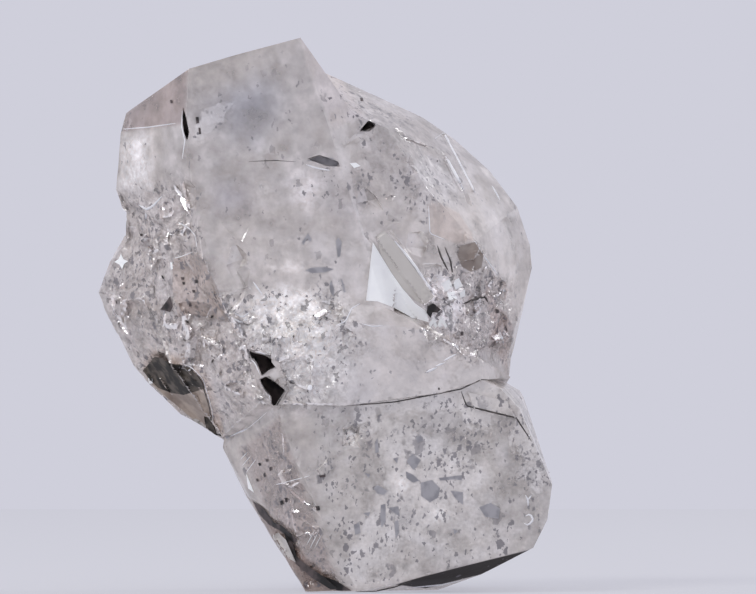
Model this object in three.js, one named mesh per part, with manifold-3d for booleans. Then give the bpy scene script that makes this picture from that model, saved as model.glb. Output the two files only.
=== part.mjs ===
// A rough diamond as it was dug up: one clear, irregular crystal that stands on a small flat spot.
// Lengths are in millimetres, with X to the right, Y to the back and Z up. The origin is in the middle of
// the stone's box, at the height of the flat spot.
import * as THREE from "three";
import { ConvexGeometry } from "three/addons/geometries/ConvexGeometry.js";
import { mergeVertices } from "three/addons/utils/BufferGeometryUtils.js";
import Module from "manifold-3d";

const wasm = await Module();
wasm.setup();

// The stone's overall size, and the outermost places that its growths reach.
const WIDTH = 6.82;
const DEPTH = 4.8;
const HEIGHT = 8.25;
const LEFT = -WIDTH / 2;
const RIGHT = WIDTH / 2;
const FRONT = -DEPTH / 2;
const BACK = DEPTH / 2;

// The flat faces that look to the front: how far forward each lies at a place [x, z].
const BAND_LEFT = -0.95;
const BAND_Z = 3.4;
const MAIN_STEP = 0.14;
const FOOT_STEP = 0.06;
const bandFace = (x) => FRONT + 0.2 * (x - BAND_LEFT);
const mainFace = (x, z) => bandFace(x) + MAIN_STEP + 0.1 * (z - BAND_Z);
const footFace = (x, z) => bandFace(x) + FOOT_STEP + 0.07 * (BAND_Z - z);

// The stone grew as several blocky crystals that merged. Each has the corners of its flat front face, as
// [x, z], and its other corners, as [x, y, z].
const MAIN_CRYSTAL = {
  face: mainFace,
  front: [
    [-2.01, 7.78], [-1.28, 8.0], [-0.36, HEIGHT], [-0.17, 7.6], [0.0, 6.3], [0.2, 4.9], [1.0, 3.9],
    [0.14, 2.93], [-0.95, 3.27], [-1.43, 4.08], [-1.81, 4.95], [-1.96, 6.0], [-2.06, 6.9],
  ],
  others: [
    // the narrow face to its right, which leans back
    [-0.12, -1.6, 7.7], [0.4, -1.45, 7.17], [0.79, -1.3, 6.45], [1.12, -1.35, 5.25],
    // its outline, from the peak round the left side
    [-0.3, -0.9, 8.1], [-0.19, -0.6, 7.94], [-1.28, -1.2, 7.9], [-2.0, -1.3, 7.72], [-2.98, -0.9, 7.14],
    [-3.07, -0.8, 6.83], [-3.14, -0.6, 6.0], [-3.05, -0.5, 5.73],
    // its back
    [-2.2, -0.5, 6.7], [-1.2, 0.0, 7.2], [0.3, 1.2, 7.2], [-2.6, -0.5, 5.4], [-1.3, 0.3, 4.6],
    [0.3, 1.8, 4.5],
  ],
};
const REAR_LOBE = {
  others: [
    // its outline, from the foot of the peak to the waist
    [-0.05, 0.3, 7.79], [0.29, 0.4, 7.6], [0.88, 0.5, 7.37], [1.46, 0.6, 7.11], [1.94, 0.7, 6.78],
    [2.47, 0.7, 6.3], [2.89, 0.7, 5.75], [3.08, 0.7, 5.18], [3.11, 0.7, 4.83], [2.95, 0.6, 4.17],
    [2.86, 0.6, 3.6], [2.75, 0.5, 3.15],
    // its upper front face, which starts at the main crystal, and the ridge below it
    [-0.14, -1.62, 7.4], [0.03, -1.74, 6.3], [0.14, -1.78, 5.5], [0.7, -1.74, 5.25], [0.89, -1.3, 6.93],
    [1.57, -1.3, 5.96], [2.23, -1.0, 5.22], [2.62, -0.5, 4.58], [2.87, -0.1, 3.9], [1.72, -1.45, 4.35],
    [2.02, -1.3, 3.3],
    // its back
    [0.1, 1.6, 6.5], [1.4, BACK, 6.4], [2.4, 2.2, 6.1], [3.0, 2.0, 5.2], [2.85, 2.2, 4.4], [1.0, BACK, 5.0],
    [1.7, BACK, 4.1], [2.7, 2.2, 3.3], [0.6, 2.0, 3.6],
  ],
};
const LEFT_LOBE = {
  others: [
    // its outline, from the upper notch to the lower one
    [-3.01, -0.4, 5.33], [-3.25, -0.3, 4.9], [LEFT, -0.2, 4.47], [-3.31, -0.2, 4.17], [-3.07, -0.1, 3.75],
    [-2.89, 0.0, 3.36], [-2.68, 0.0, 3.1], [-2.18, 0.1, 2.62], [-1.7, 0.1, 2.34], [-1.3, 0.1, 2.1],
    // its front
    [-2.41, -1.2, 5.1], [-2.78, -0.9, 4.35], [-2.3, -1.1, 3.68], [-2.63, -0.4, 3.42],
    // its back
    [-2.2, 0.0, 5.0], [-2.6, 0.1, 4.3], [-1.5, 0.5, 3.6], [-1.0, 0.6, 2.6],
  ],
};
const MIDDLE = {
  face: bandFace,
  front: [
    [-0.95, 2.82], [0.29, 2.78], [1.72, 2.97], [2.32, 3.15], [2.29, 3.54], [1.57, 3.9], [0.29, 4.05],
    [-0.95, 3.68],
  ],
  others: [
    // the broken left side
    [-2.99, -0.5, 5.62], [-2.99, -0.4, 5.3], [-2.78, -0.9, 5.78], [-2.33, -1.4, 5.85], [-2.3, -1.6, 5.03],
    [-1.45, -2.15, 4.0], [-2.41, -1.45, 4.05], [-2.33, -1.2, 3.38], [-1.81, -1.4, 3.27], [-1.67, -1.2, 2.82],
    [-1.55, -0.7, 2.28],
    // the waist, and its back
    [2.77, -0.8, 3.2], [-1.2, 0.5, 2.8], [0.0, 1.4, 2.6], [2.7, 2.0, 3.0], [-1.9, -0.1, 5.0], [0.5, 1.9, 5.0],
  ],
};
const FOOT = {
  face: footFace,
  front: [
    [-0.75, 2.85], [0.3, 3.35], [2.0, 3.35], [2.6, 3.05], [2.9, 2.72], [3.09, 2.27], [3.38, 1.6],
    [3.31, 1.08], [3.1, 0.66], [2.09, 0.42], [1.12, 0.15], [0.49, 0.03], [0.25, 0.45], [-0.05, 1.13],
    [-0.38, 1.88],
  ],
  others: [
    // its left outline, and the crease beside it
    [-1.5, -0.3, 2.5], [-1.55, -0.5, 2.15], [-1.31, -0.3, 1.83], [-1.21, -0.2, 1.43], [-0.95, -0.2, 0.98],
    [-0.61, -0.2, 0.45], [-0.38, -0.3, 0.3], [-0.95, -1.15, 1.32], [-0.5, -1.3, 0.78], [-0.2, -1.4, 0.4],
    // its right outline
    [2.69, 0.0, 3.13], [2.92, 0.0, 3.0], [2.99, 0.1, 2.88], [3.1, 0.1, 2.3], [RIGHT, 0.0, 1.61],
    [3.37, 0.0, 1.28], [3.26, -0.1, 0.9], [3.08, -0.5, 0.63], [2.69, -0.6, 0.42], [2.32, -0.7, 0.24],
    [1.94, -0.8, 0.165],
    // its back, up to the waist
    [-0.9, 0.5, 2.8], [0.2, 1.4, 2.9], [2.7, 1.9, 3.05], [-0.5, 0.8, 2.2], [0.5, 1.8, 1.9], [2.1, BACK, 1.9],
    [3.0, 2.0, 2.2], [3.2, 1.8, 1.4], [3.0, 1.8, 0.8], [0.3, 1.6, 0.5], [2.3, 1.8, 0.4],
    // the three-sided flat spot that it stands on
    [-0.3, -1.5, 0], [1.7, -0.2, 0], [-0.3, 1.35, 0],
  ],
};

// A thin plate that stands on the right shoulder of the foot, above a crack: its outline as [x, z]. Its edges
// slope in by a small part of its width.
const PLATE = {
  face: footFace,
  thickness: 0.07,
  outline: [[2.1, 3.0], [2.72, 2.86], [2.86, 2.58], [2.2, 2.72]],
};
const PLATE_ROOT = 0.3;
const PLATE_SLOPE = 0.04;

// Deep angular pits in the front: their outline as [x, z], and how far back their floor lies. Two are the
// black holes beside the band.
const PITS = [
  {
    floor: -1.75,
    outline: [
      [-1.13, 3.63], [-1.01, 3.57], [-0.8, 3.53], [-0.79, 3.44], [-0.73, 3.36], [-0.83, 3.32],
      [-0.92, 3.24], [-0.98, 3.36], [-1.07, 3.48],
    ],
  },
  {
    floor: -1.75,
    outline: [
      [-0.97, 3.18], [-0.88, 3.22], [-0.8, 3.18], [-0.59, 3.02], [-0.68, 2.88], [-0.74, 2.78], [-0.79, 2.82],
      [-0.79, 2.91], [-0.89, 3.03],
    ],
  },
  {
    floor: -1.7,
    outline: [[-2.09, 7.17], [-2.05, 7.05], [-2.01, 6.83], [-2.03, 6.72], [-2.08, 6.78], [-2.11, 7.02]],
  },
  {
    floor: -0.9,
    outline: [[0.52, 6.86], [0.66, 7.02], [0.74, 6.93], [0.66, 6.87]],
  },
  {
    floor: -1.6,
    outline: [[-0.26, 6.45], [-0.08, 6.5], [0.2, 6.4], [0.22, 6.33], [0.02, 6.34], [-0.16, 6.41]],
  },
];

// A broad bar that stands out between two facets, and two narrow ribs on the rear lobe: the ends of each as
// [x, z], its width, and how far it stands out. A bar's sides slope out as they go in.
const BARS = [
  { ends: [[0.86, 5.32], [1.58, 4.34]], width: 0.24, height: 0.1 },
  { ends: [[1.77, 6.85], [2.22, 5.98]], width: 0.07, height: 0.05 },
  { ends: [[1.8, 6.48], [2.05, 5.98]], width: 0.07, height: 0.05 },
];
const BAR_ROOT = 0.25;
const BAR_SLOPE = 1.6;

// Where the skin is broken into small shards: the stretch of [x, z], whether it is on the front or the back,
// how many shards are missing and how many stick out, and their usual radius.
const ON_FRONT = -1;
const ON_BACK = 1;
const BROKEN = [
  { from: [-3.1, 3.0], to: [-1.3, 6.0], side: ON_FRONT, missing: 34, raised: 6, radius: 0.34 },
  { from: [-1.4, 2.9], to: [0.3, 4.6], side: ON_FRONT, missing: 19, raised: 3, radius: 0.24 },
  { from: [1.4, 3.6], to: [2.7, 5.2], side: ON_FRONT, missing: 22, raised: 3, radius: 0.28 },
  { from: [-1.3, 0.3], to: [0.1, 2.4], side: ON_FRONT, missing: 12, raised: 2, radius: 0.26 },
  { from: [0.5, 5.0], to: [2.9, 7.2], side: ON_FRONT, missing: 9, raised: 1, radius: 0.25 },
  { from: [-2.7, 0.4], to: [3.0, 7.4], side: ON_BACK, missing: 44, raised: 0, radius: 0.6 },
];
const SHARD_CORNERS = 9;
const SEED = 11;

// Corners that are closer together than this are one.
const SAME_PLACE = 1e-4;

// A closed geometry as a solid that can be joined and cut.
function solidOf(geometry) {
  const bare = geometry.clone();
  bare.deleteAttribute("normal");
  bare.deleteAttribute("uv");
  const merged = mergeVertices(bare, SAME_PLACE);
  return new wasm.Manifold(
    new wasm.Mesh({
      numProp: 3,
      vertProperties: merged.attributes.position.array,
      triVerts: new Uint32Array(merged.index.array),
    }),
  );
}

// The skin of a solid as a geometry.
function geometryOf(solid) {
  const mesh = solid.getMesh();
  const geometry = new THREE.BufferGeometry();
  geometry.setAttribute("position", new THREE.BufferAttribute(mesh.vertProperties, 3));
  geometry.setIndex(new THREE.BufferAttribute(mesh.triVerts, 1));
  geometry.computeVertexNormals();
  return geometry;
}

// Repeatable random numbers from 0 to 1.
function randomSource(seed) {
  let state = seed;
  return () => {
    state = (state + 0x6d2b79f5) | 0;
    let mixed = Math.imul(state ^ (state >>> 15), 1 | state);
    mixed = (mixed + Math.imul(mixed ^ (mixed >>> 7), 61 | mixed)) ^ mixed;
    return ((mixed ^ (mixed >>> 14)) >>> 0) / 2 ** 32;
  };
}

// The convex solid around some points.
function hullOf(points) {
  return solidOf(new ConvexGeometry(points.map((point) => new THREE.Vector3(...point))));
}

// One of the crystals that merged into the stone.
function growth({ face, front = [], others }) {
  return hullOf([...front.map(([x, z]) => [x, face(x, z), z]), ...others]);
}

// The solid of a thin plate on a front face, with sloping edges.
function plate({ face, thickness, outline }) {
  const corners = outline.map(([x, z]) => new THREE.Vector2(x, z));
  const middle = corners.reduce((sum, corner) => sum.add(corner), new THREE.Vector2());
  middle.divideScalar(corners.length);
  const top = corners.map((corner) => corner.clone().lerp(middle, PLATE_SLOPE));
  return hullOf([
    ...top.map(({ x, y: z }) => [x, face(x, z) - thickness, z]),
    ...corners.map(({ x, y: z }) => [x, face(x, z) + PLATE_ROOT, z]),
  ]);
}

// The space of a pit that goes straight back from the front, along Y.
function pitSpace({ floor, outline }) {
  const shape = new THREE.Shape(outline.map(([x, z]) => new THREE.Vector2(x, z)));
  const geometry = new THREE.ExtrudeGeometry(shape, { depth: floor - FRONT + DEPTH, bevelEnabled: false });
  geometry.rotateX(Math.PI / 2);
  geometry.translate(0, floor, 0);
  return solidOf(geometry);
}

// Where the skin is met by a line along Y through [x, z], from the front or from the back.
function onSkin(skin, [x, z], side) {
  const ray = new THREE.Raycaster(new THREE.Vector3(x, side * 2 * DEPTH, z), new THREE.Vector3(0, -side, 0));
  return ray.intersectObject(skin)[0];
}

// A straight bar that lies on the front skin, with a flat top.
function bar({ ends, width, height }, skin) {
  const [start, end] = ends.map((place) => onSkin(skin, place, ON_FRONT).point);
  const out = new THREE.Vector3(0, ON_FRONT, 0);
  const across = end.clone().sub(start).cross(out).setLength(width / 2);
  const corners = [start, end].flatMap((place) => {
    const top = place.clone().addScaledVector(out, height);
    const root = place.clone().addScaledVector(out, -BAR_ROOT);
    return [
      top.clone().add(across),
      top.clone().sub(across),
      root.clone().addScaledVector(across, BAR_SLOPE),
      root.clone().addScaledVector(across, -BAR_SLOPE),
    ];
  });
  return hullOf(corners.map((corner) => corner.toArray()));
}

// A small angular shard at a place on the skin, flattened along the skin's normal.
function shard(place, normal, radius, random) {
  const turn = new THREE.Quaternion().setFromUnitVectors(new THREE.Vector3(0, 0, 1), normal);
  const flat = 0.3 + 0.3 * random();
  const points = Array.from({ length: SHARD_CORNERS }, () => {
    const around = 2 * Math.PI * random();
    const up = 2 * random() - 1;
    const out = Math.sqrt(1 - up * up);
    const point = new THREE.Vector3(out * Math.cos(around), out * Math.sin(around), up * flat);
    return point.multiplyScalar(radius).applyQuaternion(turn).add(place).toArray();
  });
  return hullOf(points);
}

// Shards of a broken stretch of the skin. Their middles are outside the skin where outward is 1, and inside
// it where outward is -1.
function shardsOf({ from, to, side, radius }, count, outward, skin, random) {
  const found = [];
  for (let i = 0; i < count; i++) {
    const x = from[0] + (to[0] - from[0]) * random();
    const z = from[1] + (to[1] - from[1]) * random();
    const own = radius * (0.6 + 0.8 * random());
    const lift = outward * own * (0.1 + 0.15 * random());
    const hit = onSkin(skin, [x, z], side);
    if (hit) {
      const { normal } = hit.face;
      found.push(shard(hit.point.clone().addScaledVector(normal, lift), normal, own, random));
    }
  }
  return found;
}

const grown = [
  ...[MAIN_CRYSTAL, REAR_LOBE, LEFT_LOBE, MIDDLE, FOOT].map(growth),
  plate(PLATE),
].reduce((stone, piece) => stone.add(piece));

const skin = new THREE.Mesh(geometryOf(grown), new THREE.MeshBasicMaterial());
const random = randomSource(SEED);
const raised = [
  ...BARS.map((each) => bar(each, skin)),
  ...BROKEN.flatMap((stretch) => shardsOf(stretch, stretch.raised, -1, skin, random)),
];
const missing = [
  ...BROKEN.flatMap((stretch) => shardsOf(stretch, stretch.missing, 1, skin, random)),
  ...PITS.map(pitSpace),
];
const whole = raised.reduce((stone, piece) => stone.add(piece), grown);
const rough = missing.reduce((stone, space) => stone.subtract(space), whole);

// Nothing that grew on the skin reaches past the stone's own box, and crumbs that came loose are left out.
const box = new THREE.BoxGeometry(WIDTH, DEPTH, HEIGHT).translate(0, 0, HEIGHT / 2);
const stone = rough
  .intersect(solidOf(box))
  .decompose()
  .reduce((largest, piece) => (piece.volume() > largest.volume() ? piece : largest));

const material = new THREE.MeshStandardMaterial({ color: 0xb4b0b0, roughness: 0.25, metalness: 0 });
const diamond = new THREE.Mesh(geometryOf(stone), material);
diamond.name = "rough_diamond";

const group = new THREE.Group();
group.add(diamond);
export default group;
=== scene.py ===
"""A rough diamond and what lies in its skin, on a pale studio floor.

The clear crystal is refined from the frame's solid and chipped where the real one is broken.
Dark specks, grey flakes, bright chips, thin facets with crisp sides, hairline cracks and white
streaks lie in its skin, and some of them are painted light: the bright chips and the white chips on
frosted skin are painted glints, the bright facets are painted highlights, the black facets in the
pits, a slit and a crease are painted shade, and some white streaks are painted reflections and edge
highlights. The foot's black underside is painted shade as well. Sizes are in millimetres unless a
name says otherwise, in the frame's axes: X right, Y back, Z up.
"""

import logging
import math
from dataclasses import dataclass
from enum import Enum
from typing import Callable, Optional, Sequence, Union

import bmesh
import bpy
import numpy as np
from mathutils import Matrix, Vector
from mathutils.bvhtree import BVHTree
from mathutils.geometry import tessellate_polygon


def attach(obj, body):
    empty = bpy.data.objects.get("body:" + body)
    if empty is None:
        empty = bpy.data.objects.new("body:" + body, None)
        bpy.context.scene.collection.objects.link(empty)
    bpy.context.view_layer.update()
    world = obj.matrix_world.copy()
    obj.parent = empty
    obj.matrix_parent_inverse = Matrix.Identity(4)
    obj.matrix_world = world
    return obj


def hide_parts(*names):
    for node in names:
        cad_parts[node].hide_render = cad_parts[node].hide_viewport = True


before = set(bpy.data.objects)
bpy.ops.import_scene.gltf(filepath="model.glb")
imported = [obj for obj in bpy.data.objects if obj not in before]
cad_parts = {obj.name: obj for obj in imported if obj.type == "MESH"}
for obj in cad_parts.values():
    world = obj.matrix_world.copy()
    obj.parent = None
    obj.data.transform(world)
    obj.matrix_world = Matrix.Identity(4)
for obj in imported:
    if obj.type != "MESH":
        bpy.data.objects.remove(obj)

LOG = logging.getLogger("rough_diamond")
MM = 0.001
ROUNDS = 14
BODY = "root"
NODE = "rough_diamond"
CELL_TURN = (0.5, 0.7, 0.3)
FAR_IN_FRONT = -100.0

Colour = tuple[float, float, float]
Place = tuple[float, float]


class Signal:
    """A number from a node's socket, for Python expressions that add Math nodes."""

    def __init__(self, graph: "Graph", socket: bpy.types.NodeSocket) -> None:
        """Wraps a socket of a graph."""
        self.graph = graph
        self.socket = socket

    def maths(self, operation: str, *terms: "Term") -> "Signal":
        """Adds one Math node.

        Args:
            operation: The node's operation.
            terms: What goes into its sockets, in order.

        Returns:
            The node's result.
        """
        return self.graph.signal("ShaderNodeMath", {"operation": operation}, dict(enumerate(terms)))

    def __add__(self, other: "Term") -> "Signal":
        """self + other."""
        return self.maths("ADD", self, other)

    def __radd__(self, other: "Term") -> "Signal":
        """other + self."""
        return self.maths("ADD", other, self)

    def __sub__(self, other: "Term") -> "Signal":
        """self - other."""
        return self.maths("SUBTRACT", self, other)

    def __rsub__(self, other: "Term") -> "Signal":
        """other - self."""
        return self.maths("SUBTRACT", other, self)

    def __mul__(self, other: "Term") -> "Signal":
        """self * other."""
        return self.maths("MULTIPLY", self, other)

    def __rmul__(self, other: "Term") -> "Signal":
        """other * self."""
        return self.maths("MULTIPLY", other, self)

    def step(self, low: float, high: float) -> "Signal":
        """Goes smoothly from 0 to 1 between two values.

        Args:
            low: The value at and below which the result is 0.
            high: The value at and above which the result is 1.

        Returns:
            The eased number.
        """
        settings = {"interpolation_type": "SMOOTHSTEP"}
        return self.graph.signal("ShaderNodeMapRange", settings, {0: self, 1: low, 2: high})


Term = Union[Signal, bpy.types.NodeSocket, float, int]


class Graph:
    """A node tree, with one way to add a node."""

    def __init__(self, tree: bpy.types.NodeTree) -> None:
        """Starts an empty tree."""
        self.tree = tree
        tree.nodes.clear()

    def add(
        self, kind: str, settings: Optional[dict] = None, sockets: Optional[dict] = None
    ) -> bpy.types.Node:
        """Adds any node.

        Args:
            kind: The node's type.
            settings: Its own properties, which are set first.
            sockets: Values or links for its inputs, by name or place.

        Returns:
            The node.
        """
        node = self.tree.nodes.new(kind)
        for name, value in (settings or {}).items():
            setattr(node, name, value)
        for key, value in (sockets or {}).items():
            self.feed(node.inputs[key], value)
        return node

    def feed(self, socket: bpy.types.NodeSocket, value: object) -> None:
        """Links or sets one input.

        Args:
            socket: The input.
            value: A signal, a socket or a plain value.
        """
        source = value.socket if isinstance(value, Signal) else value
        if isinstance(source, bpy.types.NodeSocket):
            self.tree.links.new(source, socket)
        else:
            socket.default_value = source

    def signal(
        self,
        kind: str,
        settings: Optional[dict] = None,
        sockets: Optional[dict] = None,
        output: Union[int, str] = 0,
    ) -> Signal:
        """Adds a node and gives one of its outputs.

        Args:
            kind: The node's type.
            settings: Its own properties.
            sockets: Values or links for its inputs.
            output: The output's name or place.

        Returns:
            The output as a signal.
        """
        return Signal(self, self.add(kind, settings, sockets).outputs[output])

    def blend(self, factor: Term, first: object, second: object, mode: str = "MIX") -> bpy.types.NodeSocket:
        """Mixes two colours.

        Args:
            factor: The second colour's share.
            first: A colour or a socket.
            second: A colour or a socket.
            mode: The Mix node's blend type.

        Returns:
            The mixed colour's socket.
        """
        node = self.add("ShaderNodeMix", {"data_type": "RGBA", "blend_type": mode, "clamp_factor": True})
        for place, value in ((0, factor), (6, first), (7, second)):
            self.feed(node.inputs[place], (*value, 1.0) if isinstance(value, tuple) else value)
        return node.outputs[2]

    def noise(self, where: Term, size: float, detail: float = 2.0, seed: float = 0.0) -> Signal:
        """A cloudy pattern.

        Args:
            where: The coordinates that it is read at, in metres.
            size: The width of its clouds.
            detail: How many finer layers it has.
            seed: Which pattern of its kind it is.

        Returns:
            A number that is 0.5 on average.
        """
        settings = {"noise_dimensions": "4D"}
        sockets = {"Vector": where, "W": seed, "Scale": 1 / (size * MM), "Detail": detail}
        return self.signal("ShaderNodeTexNoise", settings, sockets, "Fac")


def new_material(name: str) -> tuple[bpy.types.Material, Graph]:
    """Starts a material.

    Args:
        name: Its name.

    Returns:
        The material, and its emptied graph.
    """
    material = bpy.data.materials.new(name)
    material.use_nodes = True
    return material, Graph(material.node_tree)


@dataclass(frozen=True)
class CrystalFinish:
    """Clear diamond with a faint brown tint, full of fine clouds and specks, frosted where it is broken."""

    name: str = "clear_crystal"
    ior: float = 2.417
    haze_ior: float = 1.7
    polish: float = 0.02
    haze: float = 0.40
    frosting: float = 0.4
    body_colour: Colour = (1.0, 0.98, 0.965)
    haze_colour: Colour = (0.97, 0.885, 0.815)
    cool_colour: Colour = (0.66, 0.635, 0.645)
    frost_colour: Colour = (1.0, 0.985, 0.97)
    speck_colour: Colour = (0.15, 0.14, 0.155)
    absorbed_colour: Colour = (0.92, 0.86, 0.80)
    absorption_per_m: float = 60.0
    cloud_size: float = 1.3
    mottle_size: float = 0.42
    patch_size: float = 0.2
    fine_size: float = 0.1
    grit_size: float = 0.05
    facet_size: float = 0.16
    splinter_size: float = 0.075
    facet_contrast: float = 0.45
    splinter_contrast: float = 0.35
    splinter_relief: float = 3.5
    # How many splinter cells in broken skin get painted dark glints, and how much darker they are.
    dark_glint_share: float = 0.1
    dark_glint_shade: float = 0.6
    coarse_weights: tuple[float, float, float] = (0.8, 0.7, 0.6)
    base_light: float = 0.02
    small_weights: tuple[float, float] = (0.8, 0.7)
    small_middle: float = 0.75
    speckled_contrast: float = 0.4
    plain_contrast: float = 0.35
    cool_weights: tuple[float, float] = (0.5, 0.4)
    cool_share: float = 0.55
    grit_relief: float = 0.4
    bump_strength: float = 0.35
    bump_depth: float = 0.012
    frost_roughness: float = 0.3
    mottle_roughness: float = 0.1
    cloudy_roughness: float = 0.5
    broken_shine: float = 0.25
    haze_weights: tuple[float, float] = (1.4, 0.8)
    haze_floor: float = 0.1
    broken_clearing: float = 0.45
    speck_cover: float = 0.9
    dull_roughness: float = 0.6
    dull_gloss: float = 0.1
    push_size: float = 0.09
    push_reach: float = 0.13
    group_size: float = 0.6
    lone_specks: float = 0.28
    grouped_specks: float = 0.72
    speck_stretch: tuple[float, float, float] = (1.0, 1.0, 0.62)
    speck_reach: float = 0.56
    # For each kind of speck: its size, how common it is, and its strength.
    speck_kinds: tuple[tuple[float, float, float], ...] = (
        (0.06, 0.85, 0.9),
        (0.12, 0.5, 0.9),
        (0.25, 0.3, 0.75),
    )

    def material(self) -> bpy.types.Material:
        """Builds the material.

        Returns:
            The clear crystal's material.
        """
        material, graph = new_material(self.name)
        here = graph.add("ShaderNodeTexCoord").outputs["Object"]
        tint = graph.add("ShaderNodeAttribute", {"attribute_name": "tint"}).outputs["Color"]
        level = {
            name: graph.signal("ShaderNodeAttribute", {"attribute_name": name}, output="Fac")
            for name in ("frost", "opaque", "broken", "speckled")
        }
        clouds = graph.noise(here, self.cloud_size, 3.0)
        mottle = graph.noise(here, self.mottle_size, seed=3.0)
        patches = graph.noise(here, self.patch_size, seed=4.0)
        fine = graph.noise(here, self.fine_size, seed=5.0)
        grit = graph.noise(here, self.grit_size, seed=7.0)
        ragged = self.ragged(graph, here)
        facets, _ = self.cells(graph, here, self.facet_size, 0.0)
        splinters, inner = self.cells(graph, ragged, self.splinter_size, 0.6)
        specks = self.specks(graph, here, ragged, level["speckled"])
        # Painted dark glints: the darkest splinter cells in broken skin are shaded darker, as dark
        # reflections.
        dark_glints = (level["broken"] * self.dark_glint_share - splinters).step(0.0, 0.03)
        crushed = (facets - 0.5) * self.facet_contrast + (splinters - 0.5) * self.splinter_contrast
        crushed = crushed * level["broken"]
        large, middling, lesser = self.coarse_weights
        coarse = clouds * large + mottle * middling + patches * lesser + self.base_light
        small = fine * self.small_weights[0] + grit * self.small_weights[1] - self.small_middle
        small = small * (level["speckled"] * self.speckled_contrast + self.plain_contrast)
        lights = (coarse + small + crushed) * (1 - dark_glints * self.dark_glint_shade)
        shade = graph.add("ShaderNodeCombineColor", None, {0: lights, 1: lights, 2: lights}).outputs[0]
        cold = clouds + mottle * self.cool_weights[0] + patches * self.cool_weights[1]
        cold = cold.step(0.86, 1.1) * self.cool_share
        colour = graph.blend(cold, self.haze_colour, self.cool_colour)
        colour = graph.blend(level["frost"] * grit.step(0.35, 0.65), colour, self.frost_colour)
        colour = graph.blend(1.0, colour, shade, "MULTIPLY")
        # The tint attribute also carries painted shade and painted highlights from some zones.
        colour = graph.blend(1.0, colour, tint, "MULTIPLY")
        colour = graph.blend(specks, colour, self.speck_colour)
        height = fine + grit * self.grit_relief + inner * level["broken"] * self.splinter_relief
        bump = graph.signal(
            "ShaderNodeBump",
            None,
            {"Strength": self.bump_strength, "Distance": self.bump_depth * MM, "Height": height},
        )
        clear = graph.add(
            "ShaderNodeBsdfPrincipled",
            None,
            {
                "Base Color": graph.blend(1.0, self.body_colour, tint, "MULTIPLY"),
                "Roughness": self.polish
                + level["frost"] * self.frost_roughness
                + mottle.step(0.5, 0.75) * self.mottle_roughness,
                "IOR": self.ior,
                "Transmission Weight": 1.0,
                "Normal": bump,
            },
        )
        cloudy = graph.add(
            "ShaderNodeBsdfPrincipled",
            None,
            {
                "Base Color": colour,
                "Roughness": self.cloudy_roughness - level["broken"] * self.broken_shine,
                "IOR": self.haze_ior,
                "Normal": bump,
            },
        )
        even = mottle * self.haze_weights[0] + patches * self.haze_weights[1] - self.haze_floor
        even = self.haze * even
        share = even * (1 - level["broken"] * self.broken_clearing)
        share = share + level["frost"] * self.frosting * (patches + fine)
        share = share.maths("MAXIMUM", share, specks * self.speck_cover)
        skin = graph.add("ShaderNodeMixShader", None, {0: share, 1: clear.outputs[0], 2: cloudy.outputs[0]})
        dull = graph.add(
            "ShaderNodeBsdfPrincipled",
            None,
            {
                "Base Color": colour,
                "Roughness": self.dull_roughness,
                "Specular IOR Level": self.dull_gloss,
                "Normal": bump,
            },
        )
        skin = graph.add(
            "ShaderNodeMixShader", None, {0: level["opaque"], 1: skin.outputs[0], 2: dull.outputs[0]}
        )
        inside = graph.add(
            "ShaderNodeVolumeAbsorption",
            None,
            {"Color": (*self.absorbed_colour, 1.0), "Density": self.absorption_per_m},
        )
        graph.add(
            "ShaderNodeOutputMaterial", None, {"Surface": skin.outputs[0], "Volume": inside.outputs[0]}
        )
        return material

    def cells(
        self, graph: Graph, here: bpy.types.NodeSocket, size: float, turn: float
    ) -> tuple[Signal, Signal]:
        """Angular cells that fill space.

        Args:
            graph: The material's graph.
            here: The object's coordinates, in metres.
            size: The width of a cell.
            turn: How far the cells are turned, in radians.

        Returns:
            A random number for each cell, and the distance from its middle in widths.
        """
        turned = graph.add(
            "ShaderNodeVectorRotate",
            {"rotation_type": "EULER_XYZ"},
            {"Vector": here, "Rotation": (CELL_TURN[0] + turn, *CELL_TURN[1:])},
        )
        node = graph.add(
            "ShaderNodeTexVoronoi",
            {"distance": "MANHATTAN", "feature": "F1"},
            {"Vector": turned.outputs[0], "Scale": 1 / (size * MM)},
        )
        channels = graph.add("ShaderNodeSeparateColor", None, {0: node.outputs["Color"]})
        return Signal(graph, channels.outputs[0]), Signal(graph, node.outputs["Distance"])

    def ragged(self, graph: Graph, here: bpy.types.NodeSocket) -> bpy.types.NodeSocket:
        """Coordinates that are pushed about a little, for uneven shapes.

        Args:
            graph: The material's graph.
            here: The object's coordinates, in metres.

        Returns:
            The uneven coordinates.
        """
        sockets = {"Vector": here, "Scale": 1 / (self.push_size * MM), "Detail": 2.0}
        push = graph.add("ShaderNodeTexNoise", {"noise_dimensions": "3D"}, sockets).outputs["Color"]
        reach = (self.push_reach * MM,) * 3
        settings = {"operation": "MULTIPLY_ADD"}
        return graph.add("ShaderNodeVectorMath", settings, {0: push, 1: reach, 2: here}).outputs[0]

    def specks(
        self, graph: Graph, here: bpy.types.NodeSocket, ragged: bpy.types.NodeSocket, amount: Signal
    ) -> Signal:
        """Grey specks of three sizes, which lie in loose groups.

        Args:
            graph: The material's graph.
            here: The object's coordinates, in metres.
            ragged: The same, made uneven.
            amount: How many there are at each place, from 0 to 1.

        Returns:
            How much of a speck there is at each place.
        """
        groups = graph.noise(here, self.group_size, 3.0, seed=11.0).step(0.42, 0.62)
        crowd = amount * (self.lone_specks + groups * self.grouped_specks)
        settings = {"operation": "MULTIPLY"}
        upright = graph.add("ShaderNodeVectorMath", settings, {0: ragged, 1: self.speck_stretch}).outputs[0]
        found = None
        for number, (size, common, strength) in enumerate(self.speck_kinds):
            drawn, distance = self.cells(graph, upright, size, 1.3 * (number + 1))
            taken = (crowd * common - drawn).step(0.0, 0.1)
            spot = (self.speck_reach - distance).step(0.0, 0.12) * taken * strength
            found = spot if found is None else spot.maths("MAXIMUM", found, spot)
        return found


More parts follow.
